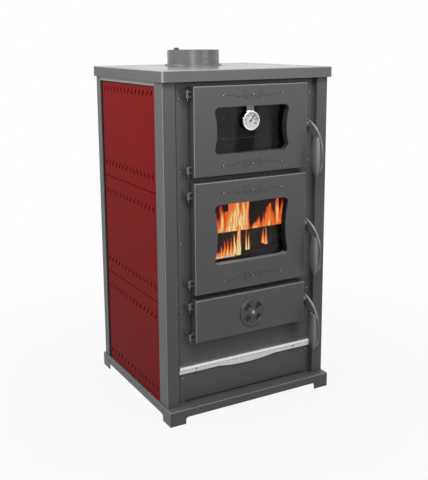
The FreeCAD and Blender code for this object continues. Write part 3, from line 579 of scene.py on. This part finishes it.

# %% [markdown]
# Behind the air rosette the ash door is dark, partly with ash and partly as painted shade seen through the
# ports, and the rosette's screw has a painted highlight in its middle. The thermometer's tab is duller than
# its bezel. Each box is measured from the CAD piece, so it stays with it.

# %% Ash door, rosette screw and thermometer
far, past_edge, past_face = 1.0, 0.01, 0.001
port_half, glint_half, tab_height = 0.0268, 0.0014, 0.0138
low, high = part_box("air_rosette")
middle = (low + high) / 2
port_box = ((middle.x - port_half, low.y, middle.z - port_half),
            (middle.x + port_half, high.y + past_face, middle.z + port_half))
dress("ash_door_skin", two_tone("ash_door_ports", finish["grey_enamel"], grey(0.026), *port_box))
screw_box = ((middle.x - glint_half, -far, middle.z - glint_half),
             (middle.x + glint_half, far, middle.z + glint_half))
dress("ash_door_fasteners", two_tone("rosette_screw_glint", finish["screw_steel"], grey(0.8), *screw_box))
low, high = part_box("thermometer_case")
tab_box = ((low.x, low.y - past_edge, high.z - tab_height), (high.x, high.y + past_edge, high.z + past_edge))
dress("thermometer_case", two_tone("bezel_and_tab", finish["bezel_chrome"], grey(0.16), *tab_box))

# %% [markdown]
# The trim rail has a polished ridge, a groove under it that is drawn as a dark line of painted shade, and a
# brushed band below. Its two screws are bright, while the other screws of the front are dull, so the rail's
# own box picks them out.

# %% Trim rail and its screws
ridge_height, groove_width = 0.008, 0.0024
low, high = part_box("trim_rail")
groove_top = high.z - ridge_height
ridge_box = ((low.x, low.y - past_edge, groove_top), (high.x, high.y, high.z + past_edge))
groove_shade_box = ((low.x, low.y - past_edge, groove_top - groove_width), (high.x, high.y, groove_top))
ridged = two_tone("rail_and_ridge", finish["rail_steel"], (0.72, 0.72, 0.73), *ridge_box)
dress("trim_rail", two_tone("rail_with_groove_shade", ridged, grey(0.03), *groove_shade_box))
rail_box = ((low.x, low.y - past_edge, low.z), (high.x, high.y, high.z))
front_screws = two_tone("rail_screws", finish["screw_steel"], grey(0.75), *rail_box)
dress("front_screws", front_screws)

# %% [markdown]
# The base is folded from one sheet, and its front corners show the seam as a fine dark line. The line is too
# thin to need a cut in the mesh, so two narrow boxes draw it.

# %% Seams of the base
seam_inset, seam_width, seam_depth, seam_top = 0.0015, 0.002, 0.002, 0.004
low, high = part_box("base_frame")
left_seam, right_seam = low.x + seam_inset, high.x - seam_inset - seam_width
seamed = finish["grey_enamel"]
for name, edge in (("base_left_seam", left_seam), ("base_seams", right_seam)):
    seam_box = ((edge, low.y - past_face, low.z), (edge + seam_width, low.y + seam_depth, high.z - seam_top))
    seamed = two_tone(name, seamed, grey(0.02), *seam_box)
dress("base_frame", seamed)

# %% [markdown]
# The slots of the red panels are punched through thin sheet, and their cut walls lie in shadow, so every face
# of a panel that doesn't look sideways is almost black. The rims of the dome screws are darkened as painted
# shade, and the upper faces of the handles are lightened as a painted highlight. The face's own direction
# picks each colour.

# %% Second colour by direction
def colour_by_direction(material, axis, compare, limit, colour):
    tree = material.node_tree
    place = add_node(tree, "TexCoord").outputs
    facing = add_node(tree, "SeparateXYZ", {0: place["Normal"]}).outputs[axis]
    if compare == "LESS_THAN":
        facing = math_node(tree, "ABSOLUTE", facing)
    paint_over(material, math_node(tree, compare, facing, limit), colour)
    print("second colour on", material.name)


colour_by_direction(finish["red_enamel"], "X", "LESS_THAN", 0.5, (0.006, 0.003, 0.003))
# Screw rims: painted shade.
for screw in (finish["screw_steel"], front_screws):
    colour_by_direction(screw, "Y", "LESS_THAN", 0.93, grey(0.015))
# Upward faces of the handles: a painted highlight.
colour_by_direction(finish["handle_enamel"], "Z", "GREATER_THAN", 0.7, (0.24, 0.24, 0.244))

# %% [markdown]
# Where two sheets meet there is a gap that the eye reads as a thin black line: behind the red panels, under
# the rail above them, and in the corner between the left post and the front plate. A box along each edge
# darkens it.

# %% Shadow gaps between sheets
gap_black = (0.006, 0.005, 0.005)
rear_width, top_width, corner_width, under_post = 0.01, 0.003, 0.0095, 0.02
rear_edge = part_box("rear_post_left")[0].y
rear_gap = ((-far, rear_edge - rear_width, 0), (far, far, far))
rail_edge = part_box("side_rail_left")[0].z
top_gap = ((-far, -far, rail_edge - top_width), (far, far, far))
gapped = two_tone("panel_rear_gap", finish["red_enamel"], gap_black, *rear_gap)
gapped = two_tone("panel_gaps", gapped, gap_black, *top_gap)
for name in nodes:
    if name.startswith("side_panel"):
        dress(name, gapped)
post_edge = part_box("front_post_left")[1].x
corner_gap = ((post_edge - under_post, -far, 0), (post_edge + corner_width, far, far))
# The front plate is painted a little darker, as painted shade for its recess.
dress("front_plate", two_tone("plate_corner", finish["shaded_plate_enamel"], grey(0.025), *corner_gap))

# %% [markdown]
# New pieces are modelled in Edit Mode. A finished one sits at the origin, unturned and unscaled, with its
# place written into its mesh, as the CAD nodes do. That keeps its pattern still when the object is exported,
# and lets it ride on a moving body.

# %% Model and finish a piece
def select_only(piece):
    start_clean()
    piece.select_set(True)
    bpy.context.view_layer.objects.active = piece


def edit_all():
    bpy.ops.object.mode_set(mode="EDIT")
    bpy.ops.mesh.select_all(action="SELECT")


def leave_edit():
    bpy.ops.object.mode_set(mode="OBJECT")


def apply_place():
    bpy.ops.object.transform_apply(location=True, rotation=True, scale=True)


def apply_modifiers(piece):
    select_only(piece)
    for modifier in list(piece.modifiers):
        bpy.ops.object.modifier_apply(modifier=modifier.name)


def finish_piece(piece, name, body, material):
    """Applies the place, names the piece, gives it its finish and lets it ride on a body."""
    select_only(piece)
    apply_place()
    piece.name = name
    piece.data.name = name
    piece.data.materials.clear()
    piece.data.materials.append(material)
    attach(piece, body)
    print("made", name, "with", len(piece.data.polygons), "faces on", body)


print("piece helpers ready")

# %% [markdown]
# Each door closes on a flat braided glass-fibre seal glued to its liner. A thin ring is cut from a plane with
# an inset, pulled to its thickness and rounded, and the braid itself comes from the material.

# %% Door seals
seal_width, seal_round = 0.01, 0.0012


def braided_seal(door):
    low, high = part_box(door + "_door_seal")
    size = high - low
    middle = (low + high) / 2
    start_clean()
    bpy.ops.mesh.primitive_plane_add(size=1, location=(middle.x, low.y, middle.z),
                                     rotation=(math.pi / 2, 0, 0))
    ring = bpy.context.object
    ring.scale = (size.x, size.z, 1)
    apply_place()
    edit_all()
    bpy.ops.mesh.inset(thickness=seal_width)
    bpy.ops.mesh.delete(type="FACE")
    bpy.ops.mesh.select_all(action="SELECT")
    bpy.ops.mesh.extrude_region_move(TRANSFORM_OT_translate={"value": (0, size.y, 0)})
    bpy.ops.mesh.select_all(action="SELECT")
    bpy.ops.mesh.normals_make_consistent(inside=False)
    leave_edit()
    rounding = ring.modifiers.new("rounding", "BEVEL")
    rounding.width = seal_round
    rounding.segments = 3
    apply_modifiers(ring)
    bpy.ops.object.shade_smooth_by_angle(angle=math.radians(40))
    finish_piece(ring, door + "_seal_braid", door + "_door", finish["rope_seal"])
    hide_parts(door + "_door_seal")


for door in ("oven", "fire", "ash"):
    braided_seal(door)

# %% [markdown]
# The oven thermometer has a printed dial. A long and a short tick are modelled once each, as flat bars with
# eased edges, and copied round the dial a hair's breadth above its face. Each copy has a mesh of its own.

# %% Dial ticks
dial_low, dial_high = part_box("thermometer_dial")
dial_centre = (dial_low + dial_high) / 2
dial_radius = (dial_high.x - dial_low.x) / 2
print_gap, tick_depth, tick_bevel = 0.00008, 0.00012, 0.00003
tick_ring, number_ring = 0.9 * dial_radius, 0.66 * dial_radius
first_angle, tick_angle, tick_count, label_step = -120, 10, 25, 4


def dial_place(angle, radius):
    turn = math.radians(angle)
    x, z = radius * math.sin(turn), radius * math.cos(turn)
    return (dial_centre.x + x, dial_low.y - print_gap, dial_centre.z + z)


def dial_tick(width, length):
    start_clean()
    bpy.ops.mesh.primitive_cube_add(size=1)
    tick = bpy.context.object
    tick.scale = (width, tick_depth, length)
    apply_place()
    edit_all()
    bpy.ops.mesh.bevel(offset=tick_bevel, segments=1)
    leave_edit()
    return tick


def copy_piece(piece):
    twin = piece.copy()
    twin.data = piece.data.copy()
    scene.collection.objects.link(twin)
    return twin


long_tick, short_tick = dial_tick(0.0015, 0.0038), dial_tick(0.0009, 0.0026)
marks = []
for step in range(tick_count):
    angle = first_angle + tick_angle * step
    tick = copy_piece(short_tick if step % label_step else long_tick)
    tick.location = dial_place(angle, tick_ring)
    tick.rotation_euler = (0, math.radians(angle), 0)
    marks.append(tick)
for pattern in (long_tick, short_tick):
    bpy.data.objects.remove(pattern)
print("ticks:", len(marks))

# %% [markdown]
# The plain numbers of the dial are text, which is made a mesh so that it can join the ticks as one printed
# layer. A tiny extrusion gives the print real thickness.

# %% Dial numbers
def to_mesh(piece):
    select_only(piece)
    bpy.ops.object.convert(target="MESH")
    return bpy.context.object


def join_pieces(pieces):
    start_clean()
    for piece in pieces:
        piece.select_set(True)
    bpy.context.view_layer.objects.active = pieces[0]
    bpy.ops.object.join()
    return bpy.context.object


degree_step, number_size, number_depth = 50, 0.0068, 0.00006
for count in range(tick_count // label_step + 1):
    angle = first_angle + tick_angle * label_step * count
    start_clean()
    bpy.ops.object.text_add(location=dial_place(angle, number_ring), rotation=(math.pi / 2, 0, 0))
    number = bpy.context.object
    number.data.body = str(degree_step * count)
    number.data.size = number_size
    number.data.align_x = number.data.align_y = "CENTER"
    number.data.extrude = number_depth
    marks.append(to_mesh(number))
dial_marks = join_pieces(marks)
finish_piece(dial_marks, "dial_marks", "oven_door", finish["needle_paint"])

# %% [markdown]
# A shallow pressed scroll runs between the screws of the two upper doors. It is a plain vine with a few
# leaves, of the kind found on many stoves. Half of it is drawn as smooth paths, given in metres from the
# middle screw, and both halves become one thin tube that is half sunk into the door's face.

# %% One pressed scroll
vine = ((0.003, -0.0058), (0.008, 0.0014), (0.015, 0.0058), (0.022, 0.0029), (0.026, -0.0058),
        (0.022, -0.0116), (0.018, -0.0072), (0.022, -0.0014), (0.032, -0.0014), (0.042, -0.0072),
        (0.05, -0.0029), (0.058, 0.0014), (0.07, -0.0014), (0.082, 0.0))
upper_leaf = ((0.032, 0.002), (0.03, 0.008), (0.025, 0.0115), (0.02, 0.0095), (0.0205, 0.0065),
              (0.0235, 0.006))
lower_leaf = ((0.01, -0.002), (0.0085, -0.0075), (0.0125, -0.0115), (0.018, -0.0105), (0.0185, -0.007),
              (0.0155, -0.006))
outer_leaf = ((0.054, 0.0), (0.05, -0.0045), (0.044, -0.0075), (0.04, -0.0055), (0.0415, -0.003),
              (0.044, -0.0035))
stroke_radius = 0.0008


def scroll_stroke(points, side, up):
    start_clean()
    bpy.ops.curve.primitive_nurbs_path_add()
    path = bpy.context.object
    path.data.splines.clear()
    spline = path.data.splines.new("NURBS")
    spline.points.add(len(points) - 1)
    for dot, (x, z) in zip(spline.points, points):
        dot.co = (side * x, 0, up * z, 1)
    spline.order_u = 3
    spline.use_endpoint_u = True
    path.data.bevel_depth = stroke_radius
    path.data.bevel_resolution = 2
    path.data.use_fill_caps = True
    return to_mesh(path)


def draw_scroll(up):
    strokes = (vine, upper_leaf, lower_leaf, outer_leaf)
    scroll = join_pieces([scroll_stroke(points, side, up) for side in (-1, 1) for points in strokes])
    bpy.ops.object.shade_smooth()
    print("scroll is", round(scroll.dimensions.x, 3), "m long")
    return scroll


standing, hanging = draw_scroll(1), draw_scroll(-1)

# %% [markdown]
# The same scroll stands above each window and hangs, upside down, below it. It is drawn once each way and
# copied to both doors. A copy that is mirrored by a negative scale would be inside out.

# %% Scrolls on the doors
for door, inset in (("oven", 0.0245), ("fire", 0.03)):
    low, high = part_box(door + "_door_skin")
    for end, pattern, height in (("top", standing, high.z - inset), ("bottom", hanging, low.z + inset)):
        pressed = copy_piece(pattern)
        pressed.location = (0, low.y, height)
        # The scroll's darker paint is painted shade along its pressed lines.
        finish_piece(pressed, door + "_scroll_" + end, door + "_door", finish["scroll_shade_enamel"])
for pattern in (standing, hanging):
    bpy.data.objects.remove(pattern)

# %% [markdown]
# The photograph doesn't show the back. Such a stove has a plain sheet there, held by a row of small dome
# screws, so one screw is turned from a short profile with a spin.

# %% One screw of the rear panel
start_clean()
dome_profile = ((0.0018, 0, -0.0003), (0.0012, 0, -0.0007), (0.0005, 0, -0.0012))
bpy.ops.mesh.primitive_plane_add(size=0.001)
seed = bpy.context.object
edit_all()
bpy.ops.mesh.merge(type="CENTER")
for step in dome_profile:
    bpy.ops.mesh.extrude_region_move(TRANSFORM_OT_translate={"value": step})
bpy.ops.mesh.select_all(action="SELECT")
bpy.ops.transform.rotate(value=math.pi / 2, orient_axis="X", center_override=(0, 0, 0))
bpy.ops.mesh.spin(steps=16, angle=2 * math.pi, center=(0, 0, 0), axis=(0, 1, 0))
bpy.ops.mesh.select_all(action="SELECT")
bpy.ops.mesh.remove_doubles(threshold=0.00001)
bpy.ops.mesh.normals_make_consistent(inside=False)
leave_edit()
bpy.ops.object.shade_smooth()
print("screw spun:", [round(1000 * v, 2) for v in seed.dimensions], "mm")

# %% [markdown]
# The screw is copied up both edges of the rear panel, just inside the posts that cover the sheet's borders.
# The copies are joined, so that the whole row is one piece.

# %% Screws up both edges
edge_inset, head_height, screw_count = 0.012, 0.0022, 6
panel_low, panel_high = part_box("rear_panel")
left_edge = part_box("rear_post_left")[1].x + edge_inset
right_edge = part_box("rear_post_right")[0].x - edge_inset
lowest = panel_low.z + 2 * edge_inset
span = panel_high.z - panel_low.z - 4 * edge_inset
heads = []
for step in range(screw_count):
    for x in (left_edge, right_edge):
        head = copy_piece(seed)
        head.location = (x, panel_high.y + head_height, lowest + span * step / (screw_count - 1))
        heads.append(head)
bpy.data.objects.remove(seed)
rear_screws = join_pieces(heads)
finish_piece(rear_screws, "rear_screws", "stove", finish["screw_steel"])

# %% [markdown]
# Behind the fire door's glass a log fire burns. A flame is hottest in its middle and near its foot, and cools
# to red where it thins out. The tongue's own UV map tells how far across and how far up a point is, and a
# stretched noise breaks the glow into streaks. The fire's heart, a little left of its middle, burns hotter.

# %% Heat of a flame
edge_power, streak_scale, streakiness, cooling = 1.6, (80.0, 20.0, 12.0), 2.3, -0.8
heart_x, heart_far, heart_near = 0.012, 0.045, 0.005
heart_least, heart_most, heat_share = 0.22, 0.7, 0.86
flame, tree, shader = node_material("flame_glow")
place = add_node(tree, "TexCoord").outputs
on_tongue = add_node(tree, "SeparateXYZ", {0: place["UV"]}).outputs
across = math_node(tree, "ABSOLUTE", math_node(tree, "MULTIPLY_ADD", on_tongue["X"], 2.0, -1.0))
core = math_node(tree, "SUBTRACT", 1.0, math_node(tree, "POWER", across, edge_power))
stretch = add_node(tree, "Mapping", {"Vector": place["Object"], "Scale": streak_scale})
streak = noise(tree, stretch.outputs[0], 1.0, 1.5, 0.4, 0.3)
heat = sway(tree, streak, streakiness, core)
heat = math_node(tree, "MULTIPLY_ADD", on_tongue["Y"], cooling, heat)
in_fire = add_node(tree, "SeparateXYZ", {0: place["Object"]}).outputs
off_heart = math_node(tree, "ABSOLUTE", math_node(tree, "ADD", in_fire["X"], heart_x))
heart = map_range(tree, off_heart, heart_far, heart_near, heart_least, heart_most)
heat = math_node(tree, "MULTIPLY", math_node(tree, "ADD", heat, heart), heat_share)
print("heat takes", len(tree.nodes), "nodes")

# %% [markdown]
# Wood fire runs from deep red through orange to a yellow core, and its cool rim is too thin to see. The flame
# gives its own light and mirrors nothing, so its base colour is black and only the emission has colour.

# %% Flame colours
stops = ((0.0, (0.42, 0.02, 0.003)), (0.15, (0.54, 0.035, 0.005)), (0.38, (0.8, 0.085, 0.012)),
         (0.62, (1.0, 0.21, 0.025)), (0.8, (1.0, 0.42, 0.08)), (0.97, (1.0, 0.78, 0.34)))
veil_start, veil_full = 0.05, 0.45
plug(tree, shader, {
    "Base Color": (0, 0, 0, 1), "Roughness": 1.0, "Specular IOR Level": 0.0, "Emission Strength": 1.0,
    "Emission Color": colour_ramp(tree, heat, stops), "Alpha": map_range(tree, heat, veil_start, veil_full)})
print("flame ramp has", len(stops), "stops")

# %% [markdown]
# A tongue of flame is a thin curtain of glowing gas. It starts as a fine grid, a taper draws it to a tip, and
# two cloud textures make it wander sideways and curl towards the glass. The textures stand still in the room,
# so each tongue bends its own way.

# %% Tongues of flame
def clouds(name, size):
    texture = bpy.data.textures.new(name, "CLOUDS")
    texture.noise_scale = size
    return texture


def displace(piece, texture, amount, direction="NORMAL"):
    push = piece.modifiers.new("push_" + direction, "DISPLACE")
    push.texture = texture
    push.texture_coords = "GLOBAL"
    push.direction = direction
    push.strength = amount


wander, curl = clouds("flame_wander", 0.045), clouds("flame_curl", 0.02)
wander_share, curl_depth, usual_foot = 0.3, 0.004, 0.473


def flame_tongue(y, pinch, x, width, height, foot=usual_foot):
    start_clean()
    bpy.ops.mesh.primitive_grid_add(x_subdivisions=8, y_subdivisions=26, size=1, rotation=(math.pi / 2, 0, 0))
    tongue = bpy.context.object
    tongue.scale = (width, height, 1)
    apply_place()
    edit_all()
    bpy.ops.transform.translate(value=(0, 0, height / 2))
    leave_edit()
    taper = tongue.modifiers.new("taper", "SIMPLE_DEFORM")
    taper.deform_method = "TAPER"
    taper.deform_axis = "Z"
    taper.factor = -pinch
    tongue.location = (x, y, foot)
    displace(tongue, wander, wander_share * width, "X")
    displace(tongue, curl, curl_depth, "Y")
    bpy.context.view_layer.update()
    apply_modifiers(tongue)
    apply_place()
    return tongue


print("flame textures:", wander.name, curl.name)

# %% [markdown]
# The fire has a tall bright bank on the left, a ragged one on the right, and low flames in front of the logs.
# Each tongue is a row of its place along the stove, its width and its height in metres, and the height of its
# foot where that is not the usual one. Each bank has its own distance behind the plate and its own pinch.

# %% Lay the fire
behind_plate = 0.006
mouth_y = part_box("front_plate")[1].y + behind_plate
left_fire = ((-0.076, 0.04, 0.066), (-0.058, 0.038, 0.084), (-0.04, 0.036, 0.066), (-0.022, 0.046, 0.1),
             (-0.004, 0.048, 0.1), (0.014, 0.04, 0.1), (0.026, 0.024, 0.096))
right_fire = ((0.052, 0.034, 0.026), (0.064, 0.038, 0.04), (0.077, 0.036, 0.054), (0.09, 0.042, 0.066),
              (0.102, 0.042, 0.074), (0.112, 0.034, 0.054), (0.126, 0.044, 0.088), (0.139, 0.038, 0.09),
              (0.147, 0.03, 0.062))
low_fire = ((-0.084, 0.016, 0.024, 0.426), (-0.074, 0.016, 0.036, 0.426), (-0.064, 0.016, 0.042, 0.428),
            (-0.054, 0.018, 0.046, 0.428), (-0.044, 0.016, 0.048, 0.428), (-0.034, 0.016, 0.054, 0.428),
            (0.004, 0.007, 0.064, 0.434), (0.012, 0.007, 0.05, 0.434), (0.058, 0.014, 0.054, 0.446),
            (0.067, 0.015, 0.058, 0.442))
bright_fire = ((-0.019, 0.015, 0.08, 0.422), (-0.016, 0.009, 0.07, 0.428))
banks = (("flames_left", 0.028, 0.45, left_fire), ("flames_right", 0.03, 0.65, right_fire),
         ("flames_low", -0.001, 0.85, low_fire), ("flame_streak", 0.001, 0.2, bright_fire))
for name, depth, pinch, rows in banks:
    bank = join_pieces([flame_tongue(mouth_y + depth, pinch, *row) for row in rows])
    bpy.ops.object.shade_smooth()
    finish_piece(bank, name, "stove", flame)

# %% [markdown]
# The fire needs wood and embers under it. Burnt bark is almost black and glows in its cracks, so one noise
# shades the bark and raises it, and a second, coarser one opens the cracks.

# %% Charred wood and ember finishes
charcoal, red_glow = (0.01, 0.008, 0.007), (0.5, 0.06, 0.01)
bark_height = 0.004


def glowing_finish(name, bark, glow, scale, crack_start, crack_full):
    material, tree, shader = node_material(name)
    place = add_node(tree, "TexCoord").outputs["Object"]
    lumps = noise(tree, place, scale * 3, 3.0)
    cracks = noise(tree, place, scale, 5.0, 0.65)
    bump = add_node(tree, "Bump", {"Distance": bark_height, "Height": lumps})
    plug(tree, shader, {
        "Base Color": colour_ramp(tree, lumps, ((0.0, charcoal), (1.0, bark))),
        "Emission Color": colour_ramp(tree, cracks, ((crack_start, (0, 0, 0)), (crack_full, glow))),
        "Emission Strength": 1.0, "Roughness": 0.95, "Specular IOR Level": 0.15, "Normal": bump.outputs[0]})
    return material


charred = glowing_finish("charred_wood", (0.012, 0.009, 0.008), red_glow, 34.0, 0.62, 0.8)
burning = glowing_finish("burning_wood", (0.05, 0.03, 0.02), (1.0, 0.6, 0.36), 60.0, 0.36, 0.56)
embers = glowing_finish("ember_bed", (0.03, 0.02, 0.016), red_glow, 60.0, 0.58, 0.75)
print("fire finishes:", charred.name, burning.name, embers.name)

# %% [markdown]
# A log starts as a cylinder. Cutting its faces up gives a cloud texture enough points to push in and out, and
# the round bar becomes a rough, slightly crooked piece of wood.

# %% One log
bark_lumps = clouds("bark_lumps", 0.03)
bark_share = 0.2


def fire_log(name, middle, length, radius, turn, bark):
    start_clean()
    bpy.ops.mesh.primitive_cylinder_add(vertices=26, radius=radius, depth=length, location=middle,
                                        rotation=(0, math.pi / 2, turn))
    log = bpy.context.object
    edit_all()
    bpy.ops.mesh.subdivide(number_cuts=5)
    leave_edit()
    displace(log, bark_lumps, bark_share * radius)
    apply_modifiers(log)
    bpy.ops.object.shade_smooth_by_angle(angle=math.radians(50))
    finish_piece(log, name, "stove", bark)


print("bark texture:", bark_lumps.name)

# %% [markdown]
# Two logs are stacked at the front edge of the grate, so that the tall flames rise from behind them, and one
# lies further back. A burning stick in front of the stack carries the low flames.

# %% Stack the wood
grate_low, grate_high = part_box("fire_grate")
bed = (grate_low + grate_high) / 2
log_radius, stick_radius = 0.0295, 0.007
stack_reach, first_rise, next_rise, rear_rise = 0.019, 0.0226, 0.057, 0.003
stack_y = grate_low.y - stack_reach
low_z = grate_high.z + first_rise
high_z = low_z + next_rise
rear_z = grate_high.z + log_radius + rear_rise
stick_place = (bed.x - 0.062, stack_y - 0.024, (low_z + high_z) / 2 - 0.002)
fire_log("log_low", (bed.x, stack_y, low_z), 0.28, log_radius, 0.0, charred)
fire_log("log_high", (bed.x + 0.004, stack_y + 0.001, high_z), 0.27, log_radius, 0.01, charred)
fire_log("log_rear", (bed.x, bed.y, rear_z), 0.24, log_radius, -0.14, charred)
fire_log("kindling", stick_place, 0.09, stick_radius, 0.0, burning)

# %% [markdown]
# Embers cover the grate as a lumpy layer. A fine grid is pushed up and down by the same cloud texture as the
# bark, and a Solidify modifier closes it into a bed of real thickness.

# %% Embers
start_clean()
bed_width, bed_rise, lump_height, bed_depth = 0.21, 0.006, 0.01, 0.004
bpy.ops.mesh.primitive_grid_add(x_subdivisions=36, y_subdivisions=36, size=bed_width,
                                location=(bed.x, bed.y, grate_high.z + bed_rise))
ash_bed = bpy.context.object
displace(ash_bed, bark_lumps, lump_height)
solid = ash_bed.modifiers.new("depth", "SOLIDIFY")
solid.thickness = bed_depth
solid.offset = -1
apply_modifiers(ash_bed)
bpy.ops.object.shade_smooth()
finish_piece(ash_bed, "ember_bed", "stove", embers)
